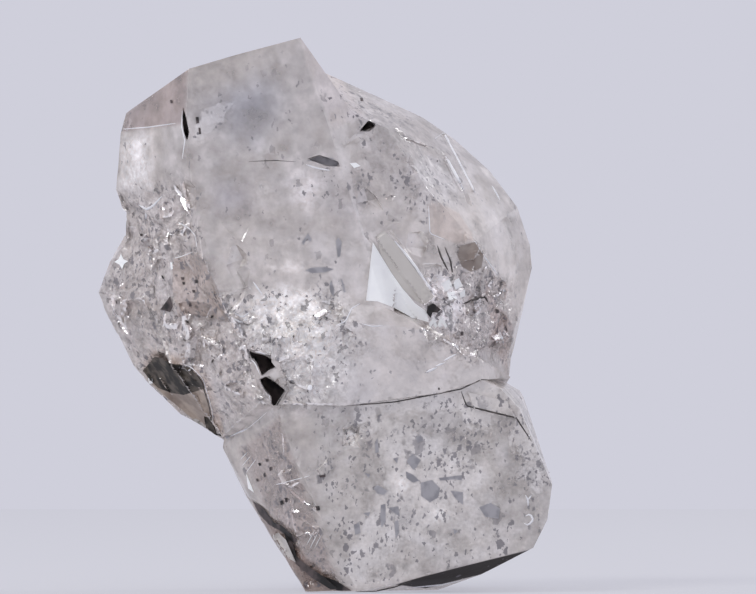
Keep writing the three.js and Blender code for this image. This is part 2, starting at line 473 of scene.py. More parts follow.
@dataclass(frozen=True)
class GrainFinish:
    """The opaque finish of small things in the skin."""

    name: str
    colour: Colour
    other_colour: Colour
    roughness: float
    patch: float = 0.15
    fine_share: float = 0.25
    uneven: float = 0.2
    bump_strength: float = 0.3
    bump_depth: float = 0.004

    def material(self) -> bpy.types.Material:
        """Builds the material.

        Returns:
            An opaque material that varies between its two colours.
        """
        material, graph = new_material(self.name)
        here = graph.add("ShaderNodeTexCoord").outputs["Object"]
        patches = graph.noise(here, self.patch, 3.0)
        fine = graph.noise(here, self.patch * self.fine_share, seed=5.0)
        shader = graph.add(
            "ShaderNodeBsdfPrincipled",
            None,
            {
                "Base Color": graph.blend(patches.step(0.4, 0.6), self.colour, self.other_colour),
                "Roughness": self.roughness + fine * self.uneven,
                "Normal": graph.signal(
                    "ShaderNodeBump",
                    None,
                    {"Strength": self.bump_strength, "Distance": self.bump_depth * MM, "Height": fine},
                ),
            },
        )
        graph.add("ShaderNodeOutputMaterial", None, {"Surface": shader.outputs[0]})
        return material


class Finish(Enum):
    """The finishes of the small things in the skin, some of them painted highlights and painted shade."""

    DARK = GrainFinish("dark_grain", (0.035, 0.03, 0.028), (0.10, 0.085, 0.075), 0.45)
    GREY = GrainFinish("grey_flake", (0.27, 0.265, 0.28), (0.38, 0.37, 0.385), 0.35)
    # White for feathers, and for painted glints and highlights: the bright chips, the chips on frosted skin
    # and many white streaks.
    WHITE = GrainFinish("white_feather_and_glint", (0.92, 0.92, 0.93), (0.80, 0.80, 0.82), 0.3)
    # Painted highlights: white plates that stand for glints and internal reflections.
    BRIGHT = GrainFinish("painted_highlight_facet", (0.98, 0.99, 0.97), (0.94, 0.95, 0.94), 0.3, 0.5)
    BEIGE = GrainFinish("beige_facet", (0.60, 0.57, 0.53), (0.56, 0.53, 0.49), 0.35, 0.5)
    BROWN = GrainFinish("brown_facet", (0.28, 0.23, 0.20), (0.38, 0.33, 0.29), 0.4, 0.3)
    # Black for painted shade in pits, a slit and a crease, and for dark specks.
    BLACK = GrainFinish("painted_shade_and_speck", (0.008, 0.007, 0.007), (0.09, 0.07, 0.068), 0.5, 0.2)
    SHADED = GrainFinish("shaded_hollow", (0.016, 0.013, 0.010), (0.12, 0.10, 0.08), 0.6, 0.2)
    TAN = GrainFinish("tan_hollow", (0.46, 0.38, 0.31), (0.28, 0.22, 0.18), 0.4, 0.35)


@dataclass(frozen=True)
class Zone:
    """A stretch of the front of the skin that looks unlike the rest."""

    outline: Sequence[Place]
    fade: float
    tint: Colour = (1.0, 1.0, 1.0)
    broken: float = 0.0
    frost: float = 0.0
    speckled: float = 0.0
    opaque: float = 0.0

    def cover(self, points: np.ndarray) -> np.ndarray:
        """How much each point lies in the zone, seen from the front.

        Args:
            points: Points as rows of x, y, z.

        Returns:
            1 inside and 0 outside for each point, with a fade between.
        """
        return np.clip(self.inwards(points) / self.fade + 0.5, 0, 1)

    def inwards(self, points: np.ndarray) -> np.ndarray:
        """How far inside the outline each point lies, seen from the front.

        Args:
            points: Points as rows of x, y, z.

        Returns:
            The distances in millimetres, below 0 outside.
        """
        flat = points[:, [0, 2]]
        corners = np.array(self.outline)
        nearest = np.full(len(flat), np.inf)
        inside = np.zeros(len(flat), dtype=bool)
        for start, end in zip(corners, np.roll(corners, -1, axis=0)):
            side = end - start
            along = np.clip((flat - start) @ side / (side @ side), 0, 1)
            nearest = np.minimum(nearest, np.linalg.norm(flat - start - along[:, None] * side, axis=1))
            rises = (start[1] > flat[:, 1]) != (end[1] > flat[:, 1])
            with np.errstate(divide="ignore", invalid="ignore"):
                crossing = start[0] + (flat[:, 1] - start[1]) * side[0] / side[1]
            inside ^= rises & (flat[:, 0] < crossing)
        return np.where(inside, nearest, -nearest)


ZONES = (
    # The broken left side, with the left lobe, and the painted sparkle beside the black holes.
    Zone([(-3.2, 5.9), (-2.1, 6.2), (-1.8, 4.9), (-1.2, 3.9), (-0.8, 2.9), (-1.8, 2.1), (-3.5, 3.6)], 0.3,
         broken=0.75, frost=0.4, speckled=0.5, tint=(0.96, 0.93, 0.92)),
    # The pale middle, and the greyer band under it.
    Zone([(-1.7, 5.6), (0.5, 5.6), (0.6, 4.3), (0.1, 3.7), (-1.0, 4.0)], 0.6, tint=(1.05, 1.05, 1.05)),
    Zone([(0.15, 4.0), (1.1, 4.1), (2.3, 3.6), (2.75, 3.2), (0.3, 2.8)], 0.2, tint=(0.90, 0.90, 0.91)),
    Zone([(-1.5, 4.4), (0.2, 4.5), (0.6, 3.7), (0.1, 2.8), (-0.7, 2.7), (-1.1, 3.6)], 0.4,
         broken=0.8, frost=0.7, speckled=0.4),
    # The bevel at the top left, darker and browner, and the paler face below it.
    Zone([(-2.98, 7.14), (-2.03, 7.79), (-2.08, 6.95), (-3.07, 6.86)], 0.06, tint=(0.69, 0.61, 0.60)),
    Zone([(-3.1, 6.8), (-2.6, 6.8), (-2.6, 6.0), (-3.1, 6.0)], 0.2, frost=0.7),
    # Soft blue-grey clouds under the upper face.
    Zone([(-1.95, 7.4), (-0.85, 7.65), (-0.65, 7.3), (-1.1, 6.7), (-1.4, 6.75), (-1.8, 7.1)], 0.5,
         tint=(0.80, 0.82, 0.87)),
    Zone([(-1.51, 7.47), (-0.76, 7.53), (-0.71, 7.08), (-1.01, 6.6), (-1.28, 6.75),
          (-1.4, 7.17)], 0.35, tint=(0.84, 0.86, 0.90)),
    Zone([(-1.6, 6.05), (-1.1, 6.05), (-1.1, 5.7), (-1.6, 5.7)], 0.4, tint=(0.72, 0.72, 0.78)),
    # The brown facet on the left, and the brownish skin round the dark hollow.
    Zone([(-2.27, 4.96), (-1.97, 5.05), (-1.84, 5.01), (-1.63, 4.62), (-1.42, 4.11), (-1.49, 4.04),
          (-1.69, 4.06), (-1.96, 4.12), (-2.21, 4.11), (-2.3, 4.5)], 0.03,
         tint=(0.74, 0.68, 0.64), broken=-0.6, speckled=1.0),
    Zone([(-2.8, 3.33), (-2.63, 3.57), (-2.11, 3.48), (-1.78, 3.18), (-1.64, 2.7), (-1.52, 2.23),
          (-1.81, 2.31), (-2.41, 2.77)], 0.1,
         tint=(0.75, 0.68, 0.62), opaque=0.3),
    # A painted glint: a small patch of frosted, broken skin tinted brighter than white.
    Zone([(0.28, 2.43), (0.41, 2.48), (0.52, 2.35), (0.46, 2.19), (0.31, 2.21)], 0.06, broken=1.0, frost=1.0,
         tint=(1.15, 1.13, 1.1)),
    # Brighter patches: painted sparkle on the crushed skin above the holes, and paler patches under the upper
    # face.
    Zone([(-0.95, 4.35), (-0.61, 4.5), (-0.2, 4.35), (-0.01, 3.82), (-0.11, 3.45), (-0.46, 3.6),
          (-0.76, 3.9)], 0.3,
         frost=0.8, tint=(1.14, 1.14, 1.13)),
    Zone([(-0.53, 6.08), (-0.31, 6.27), (-0.05, 6.18), (-0.08, 5.73),
          (-0.38, 5.67)], 0.25, frost=0.5, tint=(1.14, 1.13, 1.15)),
    Zone([(-0.92, 4.83), (-0.34, 4.98), (-0.26, 4.71)], 0.08, frost=0.4, tint=(1.12, 1.12, 1.13)),
    Zone([(-0.05, 6.18), (0.55, 6.27), (0.7, 5.85), (0.37, 5.52),
          (-0.01, 5.67)], 0.3, speckled=0.5, tint=(0.86, 0.86, 0.88)),
    Zone([(1.03, 1.74), (1.24, 1.8), (1.27, 1.5), (1.09, 1.44)], 0.15, frost=0.4, tint=(1.06, 1.06, 1.06)),
    Zone([(1.54, 1.29), (1.87, 1.35), (1.9, 1.08), (1.6, 1.02)], 0.15, frost=0.4, tint=(1.06, 1.06, 1.06)),
    # Smooth skin under the two black holes, which are painted shade, and under the bright triangle and its
    # bar, which are painted internal reflections.
    Zone([(-1.16, 3.67), (-0.86, 3.58), (-0.65, 3.42), (-0.53, 3.01), (-0.67, 2.75), (-0.82, 2.77),
          (-1.06, 3.23), (-1.16, 3.48)], 0.03,
         broken=-1.0, frost=-1.0, speckled=-1.0),
    Zone([(0.71, 5.23), (0.88, 5.4), (1.04, 5.23), (1.66, 4.39), (1.54, 4.17), (1.55, 3.99), (1.12, 4.17),
          (0.58, 4.33)], 0.03,
         broken=-1.0, speckled=-1.0),
    # The narrow face beside the peak.
    Zone([(-0.4, 8.3), (-0.36, 8.2), (-0.18, 7.6), (0.1, 6.9), (0.6, 7.1), (0.1, 7.9)], 0.06, opaque=0.6,
         tint=(0.8, 0.79, 0.8)),
    # Brown facets, painted highlights where bright shards lie, and the dark broken patch on the rear lobe.
    Zone([(1.54, 5.76), (1.73, 5.79), (2, 5.65), (2.2, 5.35), (2.21, 5.23), (2.02, 5.16), (1.78, 5.26),
          (1.55, 5.33)], 0.03,
         opaque=0.4, tint=(0.80, 0.76, 0.74), broken=-0.5),
    Zone([(2.41, 4.62), (2.87, 3.94), (2.81, 3.6), (2.74, 3.19), (2.59, 3.67),
          (2.5, 4.2)], 0.06, tint=(0.85, 0.77, 0.74)),
    Zone([(1.5, 4.7), (2.1, 4.9), (2.8, 4.6), (2.9, 3.4), (2.0, 3.5), (1.5, 3.9)], 0.3,
         broken=1.0, frost=0.4, speckled=0.9, tint=(0.87, 0.83, 0.82)),
    # Painted highlight: the skin under the bright shards is tinted brighter than white.
    Zone([(1.5, 4.75), (1.95, 4.7), (2.15, 4.3), (1.95, 3.9), (1.6, 3.95), (1.45, 4.3)], 0.15, frost=0.8,
         tint=(1.4, 1.45, 1.5)),
    Zone([(0.3, 7.5), (1.4, 7.1), (2.2, 6.2), (1.5, 5.6), (0.6, 6.2)], 0.3, broken=0.1, frost=0.2,
         speckled=0.6, tint=(0.88, 0.88, 0.9)),
    # The foot: its pale front face, its brown left facet, painted shade in the crease at its lower left, and
    # painted shade on its black, down-facing underside.
    Zone([(-0.2, 2.7), (2.6, 3.1), (3.1, 2.8), (3.6, 1.5), (3.4, 0.7), (0.3, 0.1), (0.0, 1.0)], 0.1,
         frost=0.05, speckled=0.55, tint=(0.93, 0.94, 0.94)),
    Zone([(0.8, 2.3), (1.9, 2.4), (2.6, 1.9), (2.6, 1.0), (1.9, 0.5), (0.6, 0.3), (0.3, 1.0),
          (0.9, 1.7)], 0.4,
         speckled=0.9, frost=0.1),
    Zone([(-1.3, 2.1), (-0.7, 2.6), (0.2, 0.1), (-0.3, 0.1)], 0.1, tint=(0.86, 0.79, 0.77),
         broken=0.5, speckled=1.0),
    # Painted shade in the crease at the foot's lower left: tinted dark and half opaque.
    Zone([(-1.16, 1.38), (-0.95, 1.28), (-0.61, 0.83), (-0.23, 0.45), (0.14, 0.15), (0.29, -0.1),
          (-0.4, -0.1), (-0.6, 0.38), (-0.9, 0.83)], 0.06, tint=(0.38, 0.32, 0.29), opaque=0.5, broken=0.3),
    # Painted shade on the foot's down-facing underside: near-black and opaque.
    Zone([(1.04, 0.12), (1.43, 0.24), (3.08, 0.64), (2.69, 0.42), (2.32, 0.24), (1.5, 0.03)], 0.02,
         tint=(0.03, 0.027, 0.027), opaque=1.0),
)


def refined(
    points: np.ndarray, corners: np.ndarray, limit: Callable[[np.ndarray], np.ndarray]
) -> tuple[np.ndarray, np.ndarray]:
    """Halves a mesh's long edges until none is left.

    Args:
        points: The mesh's points.
        corners: Its triangles.
        limit: Says how long an edge may be at each of the given places.

    Returns:
        The finer mesh's points and triangles.
    """
    for _ in range(ROUNDS):
        sides = np.sort(corners[:, [[0, 1], [1, 2], [2, 0]]].reshape(-1, 2), axis=1)
        keys, which = np.unique(sides[:, 0] * len(points) + sides[:, 1], return_inverse=True)
        ends = points[np.stack([keys // len(points), keys % len(points)], axis=1)]
        halfway = ends.mean(axis=1)
        long = np.linalg.norm(ends[:, 1] - ends[:, 0], axis=1) > limit(halfway)
        if not long.any():
            break
        middles = np.full(len(keys), -1)
        middles[long] = len(points) + np.arange(long.sum())
        points = np.vstack([points, halfway[long]])
        corners = split(corners, middles[which].reshape(-1, 3))
    return points, corners


def split(corners: np.ndarray, middles: np.ndarray) -> np.ndarray:
    """Splits each triangle at the middles that its sides have.

    Args:
        corners: The triangles.
        middles: For each side of each triangle, the point in its middle, or -1.

    Returns:
        The new triangles.
    """
    parts = []
    has = middles >= 0
    for count in range(4):
        chosen = has.sum(axis=1) == count
        marks = has[chosen]
        first = np.argmax(marks if count < 2 else ~marks, axis=1) + (count == 2)
        turn = (first[:, None] + np.arange(3)) % 3
        a, b, c = np.take_along_axis(corners[chosen], turn, 1).T
        ab, bc, ca = np.take_along_axis(middles[chosen], turn, 1).T
        parts += {
            0: [(a, b, c)],
            1: [(a, ab, c), (ab, b, c)],
            2: [(ab, b, bc), (a, ab, bc), (a, bc, c)],
            3: [(a, ab, ca), (ab, b, bc), (ca, bc, c), (ab, bc, ca)],
        }[count]
    return np.vstack([np.stack(part, axis=1) for part in parts])


@dataclass
class Skin:
    """The stone's surface as points and triangles, for laying small things on it."""

    points: np.ndarray
    corners: np.ndarray

    def __post_init__(self) -> None:
        """Makes the search tree that rays are cast into."""
        self.tree = BVHTree.FromPolygons([Vector(p) for p in self.points], self.corners.tolist())

    @classmethod
    def of(cls, mesh: bpy.types.Mesh) -> "Skin":
        """The skin of a mesh.

        Args:
            mesh: A mesh of triangles, in metres.

        Returns:
            Its skin, in millimetres.
        """
        points = np.empty(len(mesh.vertices) * 3, dtype=np.float32)
        mesh.vertices.foreach_get("co", points)
        corners = np.empty(len(mesh.polygons) * 3, dtype=np.int32)
        mesh.polygons.foreach_get("vertices", corners)
        return cls(points.reshape(-1, 3).astype(float) / MM, corners.reshape(-1, 3))

    def front(self, place: Place) -> tuple[Vector, Vector]:
        """The front of the skin at a place.

        Args:
            place: The x and z of the place.

        Returns:
            The point on the skin and the normal there.
        """
        start = Vector((place[0], FAR_IN_FRONT, place[1]))
        point, normal, _, _ = self.tree.ray_cast(start, Vector((0, 1, 0)))
        if point is None:
            point, normal, _, _ = self.tree.find_nearest(Vector((place[0], 0.0, place[1])))
        return point, normal


@dataclass
class Stone:
    """The crystal itself: the frame's solid, made of finer faces and chipped."""

    broken_edge: float = 0.052
    front_edge: float = 0.12
    back_edge: float = 0.17
    broken_from: float = 0.3
    front_depth: float = -0.3
    outline_edge: float = 0.035
    outline_reach: float = 0.03
    chip_size: float = 0.36
    chip_depth: float = 0.07
    fine_size: float = 0.15
    fine_depth: float = 0.04
    swell: float = 0.012
    sharp_angle: float = 12.0
    weld: float = 0.0005
    flat_angle: float = 0.5
    swell_per_m: float = 700.0
    facing_start: float = 0.6
    facing_gain: float = 4.0
    facing_depth: float = 0.9
    hidden_broken: float = 0.12
    hidden_frost: float = 0.1
    hidden_specks: float = 0.1
    specks_all_over: float = 0.2

    def build(self, node: bpy.types.Object) -> bpy.types.Object:
        """Makes the stone.

        Args:
            node: The frame's solid.

        Returns:
            The finished piece.
        """
        points, corners = refined(*self.merged(node), self.limit)
        mesh = bpy.data.meshes.new("rough_diamond_skin")
        mesh.from_pydata((points * MM).tolist(), [], corners.tolist())
        self.mark(mesh, points)
        piece = bpy.data.objects.new("crystal_skin", mesh)
        bpy.context.scene.collection.objects.link(piece)
        apply_tree(piece, self.relief(), self.sizes())
        piece.data.set_sharp_from_angle(angle=math.radians(self.sharp_angle))
        return piece

    def merged(self, node: bpy.types.Object) -> tuple[np.ndarray, np.ndarray]:
        """The solid as one closed mesh with even triangles.

        Args:
            node: The frame's solid, whose mesh is loose triangles.

        Returns:
            Its points, and its triangles' corners.
        """
        work = bmesh.new()
        work.from_mesh(node.data)
        bmesh.ops.remove_doubles(work, verts=work.verts, dist=self.weld * MM)
        flat = math.radians(self.flat_angle)
        bmesh.ops.dissolve_limit(work, angle_limit=flat, verts=work.verts, edges=work.edges)
        bmesh.ops.triangulate(work, faces=work.faces, ngon_method="BEAUTY")
        work.verts.ensure_lookup_table()
        points = np.array([tuple(v.co) for v in work.verts]) / MM
        corners = np.array([[v.index for v in face.verts] for face in work.faces])
        work.free()
        return points, corners

    def limit(self, places: np.ndarray) -> np.ndarray:
        """How long an edge may be at each place.

        Args:
            places: Points as rows of x, y, z.

        Returns:
            The limits: shortest where the front is broken, longest behind.
        """
        limits = np.full(len(places), self.back_edge)
        in_front = places[:, 1] < self.front_depth
        seen = places[in_front]
        broken = np.zeros(len(seen))
        outlined = np.zeros(len(seen), dtype=bool)
        for zone in ZONES:
            if zone.broken:
                broken += zone.cover(seen) * zone.broken
            if zone.fade <= self.outline_reach:
                outlined |= np.abs(zone.inwards(seen)) < self.outline_reach
        edges = np.where(broken > self.broken_from, self.broken_edge, self.front_edge)
        limits[in_front] = np.where(outlined, self.outline_edge, edges)
        return limits

    def mark(self, mesh: bpy.types.Mesh, points: np.ndarray) -> None:
        """Writes what the zones say on the mesh, as attributes.

        Args:
            mesh: The stone's mesh.
            points: Its points, in millimetres.
        """
        normals = np.empty(len(points) * 3, dtype=np.float32)
        mesh.vertices.foreach_get("normal", normals)
        backwards = normals.reshape(-1, 3)[:, 1]
        facing = np.clip(self.facing_start - backwards * self.facing_gain, 0, 1)
        facing = facing * (points[:, 1] < self.facing_depth)
        tint = np.ones((len(points), 4), dtype=np.float32)
        hidden = 1 - facing
        levels = {
            "broken": self.hidden_broken * hidden,
            "frost": self.hidden_frost * hidden,
            "speckled": self.hidden_specks * hidden + self.specks_all_over,
            "opaque": np.zeros(len(points)),
        }
        for zone in ZONES:
            cover = zone.cover(points) * facing
            tint[:, :3] *= 1 + cover[:, None] * (np.array(zone.tint) - 1)
            for name in levels:
                levels[name] = levels[name] + cover * getattr(zone, name)
        for name, values in levels.items():
            attribute = mesh.attributes.new(name, "FLOAT", "POINT")
            attribute.data.foreach_set("value", np.clip(values, 0, 1).astype(np.float32))
        attribute = mesh.attributes.new("tint", "FLOAT_COLOR", "POINT")
        attribute.data.foreach_set("color", tint.ravel())

    def sizes(self) -> dict[str, float]:
        """The relief's inputs by name, in metres."""
        return {
            "Chip Size": self.chip_size * MM,
            "Chip Depth": self.chip_depth * MM,
            "Fine Size": self.fine_size * MM,
            "Fine Depth": self.fine_depth * MM,
            "Swell": self.swell * MM,
        }

    def relief(self) -> bpy.types.NodeTree:
        """The tree that sinks angular chips into the broken skin.

        Returns:
            The tree.
        """
        tree = new_tree("chipped_skin", list(self.sizes()))
        graph = Graph(tree)
        given = graph.add("NodeGroupInput")
        here = graph.add("GeometryNodeInputPosition").outputs[0]
        broken = graph.signal(
            "GeometryNodeInputNamedAttribute", {"data_type": "FLOAT"}, {"Name": "broken"}, "Attribute"
        )
        normal = graph.add("GeometryNodeInputNormal").outputs[0]
        turned = graph.add(
            "ShaderNodeVectorRotate", {"rotation_type": "EULER_XYZ"}, {"Vector": here, "Rotation": CELL_TURN}
        ).outputs[0]
        sunk = None
        for size, depth in (("Chip Size", "Chip Depth"), ("Fine Size", "Fine Depth")):
            scale = Signal(graph, given.outputs[size]).maths("DIVIDE", 1.0, given.outputs[size])
            cells = graph.signal(
                "ShaderNodeTexVoronoi",
                {"distance": "MANHATTAN", "feature": "F1"},
                {"Vector": turned, "Scale": scale},
                "Distance",
            )
            part = cells * Signal(graph, given.outputs[depth])
            sunk = part if sunk is None else sunk + part
        waves = graph.signal(
            "ShaderNodeTexNoise",
            {"noise_dimensions": "3D"},
            {"Vector": here, "Scale": self.swell_per_m, "Detail": 1.0},
            "Fac",
        )
        depth = sunk * broken + waves * Signal(graph, given.outputs["Swell"])
        offset = graph.add(
            "ShaderNodeVectorMath", {"operation": "SCALE"}, {0: normal, "Scale": depth * -1.0}
        ).outputs[0]
        moved = graph.add(
            "GeometryNodeSetPosition", None, {"Geometry": given.outputs["Geometry"], "Offset": offset}
        )
        finish_tree(graph, moved.outputs[0], given)
        return tree


def new_tree(name: str, numbers: Sequence[str]) -> bpy.types.NodeTree:
    """Starts a Geometry Nodes tree.

    Args:
        name: Its name.
        numbers: The names of its number inputs.

    Returns:
        The tree, whose inputs are its geometry, the numbers and a material.
    """
    tree = bpy.data.node_groups.new(name, "GeometryNodeTree")
    tree.interface.new_socket("Geometry", in_out="INPUT", socket_type="NodeSocketGeometry")
    for number in numbers:
        tree.interface.new_socket(number, in_out="INPUT", socket_type="NodeSocketFloat")
    tree.interface.new_socket("Material", in_out="INPUT", socket_type="NodeSocketMaterial")
    tree.interface.new_socket("Geometry", in_out="OUTPUT", socket_type="NodeSocketGeometry")
    return tree


def finish_tree(graph: Graph, result: bpy.types.NodeSocket, given: bpy.types.Node) -> None:
    """Ends a tree with real meshes and their material.

    Args:
        graph: The tree's graph.
        result: The geometry so far.
        given: The tree's input node.
    """
    real = graph.add("GeometryNodeRealizeInstances", None, {"Geometry": result})
    dressed = graph.add(
        "GeometryNodeSetMaterial", None, {"Geometry": real.outputs[0], "Material": given.outputs["Material"]}
    )
    graph.add("NodeGroupOutput", None, {"Geometry": dressed.outputs[0]})


def made_mesh(
    source: bpy.types.Object,
    tree: bpy.types.NodeTree,
    sizes: dict[str, float],
    material: bpy.types.Material,
) -> bpy.types.Object:
    """Runs a tree on a curve and keeps the result as a mesh piece.

    Args:
        source: The curve, which is removed.
        tree: The tree.
        sizes: The tree's number inputs by name.
        material: What the piece is made of.

    Returns:
        The mesh piece, with the curve's name.
    """
    name = source.name
    mesh = run_tree(source, tree, sizes, material)
    curve = source.data
    bpy.data.objects.remove(source)
    bpy.data.curves.remove(curve)
    piece = bpy.data.objects.new(name, mesh)
    bpy.context.scene.collection.objects.link(piece)
    return piece


def apply_tree(
    piece: bpy.types.Object,
    tree: bpy.types.NodeTree,
    sizes: dict[str, float],
    material: Optional[bpy.types.Material] = None,
) -> None:
    """Runs a tree on a piece and keeps the result as its plain mesh.

    Args:
        piece: The piece.
        tree: The tree.
        sizes: The tree's number inputs by name.
        material: What the piece is made of.
    """
    piece.data = run_tree(piece, tree, sizes, material)


def run_tree(
    piece: bpy.types.Object,
    tree: bpy.types.NodeTree,
    sizes: dict[str, float],
    material: Optional[bpy.types.Material],
) -> bpy.types.Mesh:
    """Runs a tree on an object and takes its modifier off again.

    Args:
        piece: The object.
        tree: The tree.
        sizes: The tree's number inputs by name.
        material: What the result is made of.

    Returns:
        The result as a plain mesh.
    """
    modifier = piece.modifiers.new(tree.name, "NODES")
    modifier.node_group = tree
    sockets = {item.name: item.identifier for item in tree.interface.items_tree if item.in_out == "INPUT"}
    for name, value in sizes.items():
        modifier[sockets[name]] = value
    if material is not None:
        modifier[sockets["Material"]] = material
    graph = bpy.context.evaluated_depsgraph_get()
    mesh = bpy.data.meshes.new_from_object(piece.evaluated_get(graph), depsgraph=graph)
    mesh.name = piece.name
    piece.modifiers.remove(modifier)
    if material is not None:
        mesh.materials.clear()
        mesh.materials.append(material)
    return mesh


class Grain(Enum):
    """The plain shapes that are strewn in the skin."""

    CHIP = "angular grain"
    FLAKE = "thin six-sided plate"


@dataclass
class Strewn:
    """Small things of one kind, strewn in the skin where an attribute says so."""

    name: str
    finish: Finish
    grain: Grain
    mask: str
    per_mm2: float
    smallest: float
    largest: float
    flatness: float
    deepest: float
    seed: int
    group_size: float = 0.8
    lone_share: float = 0.15
    narrowest: float = 0.6
    widening: float = 0.8
    margin: float = 0.003

    def build(self, stone: bpy.types.Object) -> bpy.types.Object:
        """Strews the things.

        Args:
            stone: The crystal, whose skin they lie in.

        Returns:
            The finished piece.
        """
        piece = bpy.data.objects.new(self.name, stone.data.copy())
        bpy.context.scene.collection.objects.link(piece)
        apply_tree(piece, self.tree(), self.sizes(), self.finish.value.material())
        return piece

    def sizes(self) -> dict[str, float]:
        """The tree's inputs by name, in metres."""
        return {
            "Density": self.per_mm2 / MM**2,
            "Smallest": self.smallest * MM,
            "Largest": self.largest * MM,
            "Flatness": self.flatness,
            "Deepest": self.deepest * MM,
        }

    def tree(self) -> bpy.types.NodeTree:
        """The tree that strews, turns and sinks them.

        Returns:
            The tree.
        """
        tree = new_tree(self.name, list(self.sizes()))
        graph = Graph(tree)
        given = graph.add("NodeGroupInput")
        size = {name: Signal(graph, given.outputs[name]) for name in self.sizes()}
        mask = graph.signal(
            "GeometryNodeInputNamedAttribute", {"data_type": "FLOAT"}, {"Name": self.mask}, "Attribute"
        )
        here = graph.add("GeometryNodeInputPosition").outputs[0]
        groups = graph.noise(here, self.group_size, seed=self.seed).step(0.4, 0.62) + self.lone_share
        strewn = graph.add(
            "GeometryNodeDistributePointsOnFaces",
            {"distribute_method": "RANDOM"},
            {
                "Mesh": given.outputs["Geometry"],
                "Density": size["Density"] * mask * groups,
                "Seed": self.seed,
            },
        )
        draw = self.draw(graph, 0)
        radius = size["Smallest"] + (size["Largest"] - size["Smallest"]) * draw * draw * draw
        depth = radius + size["Deepest"] * self.draw(graph, 1)
        inwards = graph.add(
            "ShaderNodeVectorMath",
            {"operation": "SCALE"},
            {0: strewn.outputs["Normal"], "Scale": depth * -1.0},
        )
        sunk = graph.add(
            "GeometryNodeSetPosition",
            None,
            {"Geometry": strewn.outputs["Points"], "Offset": inwards.outputs[0]},
        )
        kept = graph.add(
            "GeometryNodeDeleteGeometry",
            {"domain": "POINT"},
            {
                "Geometry": sunk.outputs[0],
                "Selection": self.outside(graph, given.outputs["Geometry"]),
            },
        )
        stretch = graph.add(
            "ShaderNodeCombineXYZ",
            None,
            {
                "X": radius * (self.narrowest + self.draw(graph, 2) * self.widening),
                "Y": radius * (self.narrowest + self.draw(graph, 3) * self.widening),
                "Z": radius * size["Flatness"],
            },
        )
        turn = graph.add(
            "FunctionNodeRandomValue",
            {"data_type": "FLOAT_VECTOR"},
            {0: (0.0, 0.0, 0.0), 1: (math.tau, math.tau, math.tau), "Seed": self.seed + 9},
        )
        placed = graph.add(
            "GeometryNodeInstanceOnPoints",
            None,
            {
                "Points": kept.outputs[0],
                "Instance": self.shape(graph),
                "Rotation": turn.outputs[0],
                "Scale": stretch.outputs[0],
            },
        )
        finish_tree(graph, placed.outputs[0], given)
        return tree

    def outside(self, graph: Graph, stone: bpy.types.NodeSocket) -> Signal:
        """Which points have left the stone.

        Args:
            graph: The tree's graph.
            stone: The stone's geometry.

        Returns:
            1 for a point that is outside the skin, or else 0.
        """
        nearest = graph.add("GeometryNodeProximity", {"target_element": "FACES"}, {0: stone}).outputs[0]
        normal = graph.add(
            "GeometryNodeSampleNearestSurface",
            {"data_type": "FLOAT_VECTOR"},
            {"Mesh": stone, "Value": graph.add("GeometryNodeInputNormal").outputs[0]},
        ).outputs[0]
        here = graph.add("GeometryNodeInputPosition").outputs[0]
        away = graph.add("ShaderNodeVectorMath", {"operation": "SUBTRACT"}, {0: here, 1: nearest}).outputs[0]
        height = graph.signal(
            "ShaderNodeVectorMath", {"operation": "DOT_PRODUCT"}, {0: away, 1: normal}, "Value"
        )
        return height.maths("GREATER_THAN", height, -self.margin * MM)

    def draw(self, graph: Graph, place: int) -> Signal:
        """A random number from 0 to 1 for each thing."""
        sockets = {2: 0.0, 3: 1.0, "Seed": self.seed * 10 + place}
        return graph.signal("FunctionNodeRandomValue", {"data_type": "FLOAT"}, sockets, 1)

    def shape(self, graph: Graph) -> bpy.types.NodeSocket:
        """One thing of its kind, with a radius of 1.

        Args:
            graph: The tree's graph.

        Returns:
            Its mesh.
        """
        if self.grain is Grain.CHIP:
            return graph.add("GeometryNodeMeshIcoSphere", None, {"Radius": 1.0, "Subdivisions": 1}).outputs[0]
        sizes = {"Vertices": 6, "Radius": 1.0, "Depth": 1.0}
        return graph.add("GeometryNodeMeshCylinder", None, sizes).outputs[0]


STREWN = (
    Strewn("dark_specks", Finish.DARK, Grain.CHIP, "speckled", 26.0, 0.008, 0.04, 0.5, 0.03, 1),
    Strewn("skin_flakes", Finish.GREY, Grain.FLAKE, "speckled", 40.0, 0.012, 0.065, 0.16, 0.0, 4),
    Strewn("deep_flakes", Finish.GREY, Grain.FLAKE, "speckled", 4.0, 0.02, 0.11, 0.12, 0.7, 2),
    # Painted glints: white chips strewn in the broken skin.
    Strewn("painted_glint_chips", Finish.WHITE, Grain.CHIP, "broken", 22.0, 0.006, 0.045, 0.35, 0.01, 3),
    # Painted sparkle: white chips strewn where the skin is frosted.
    Strewn("painted_sparkle_chips", Finish.WHITE, Grain.CHIP, "frost", 45.0, 0.005, 0.03, 0.4, 0.0, 6),
)


@dataclass(frozen=True)
class Line:
    """A thin line in the skin: where it runs as [x, z], and how wide it is."""

    path: Sequence[Place]
    width: float


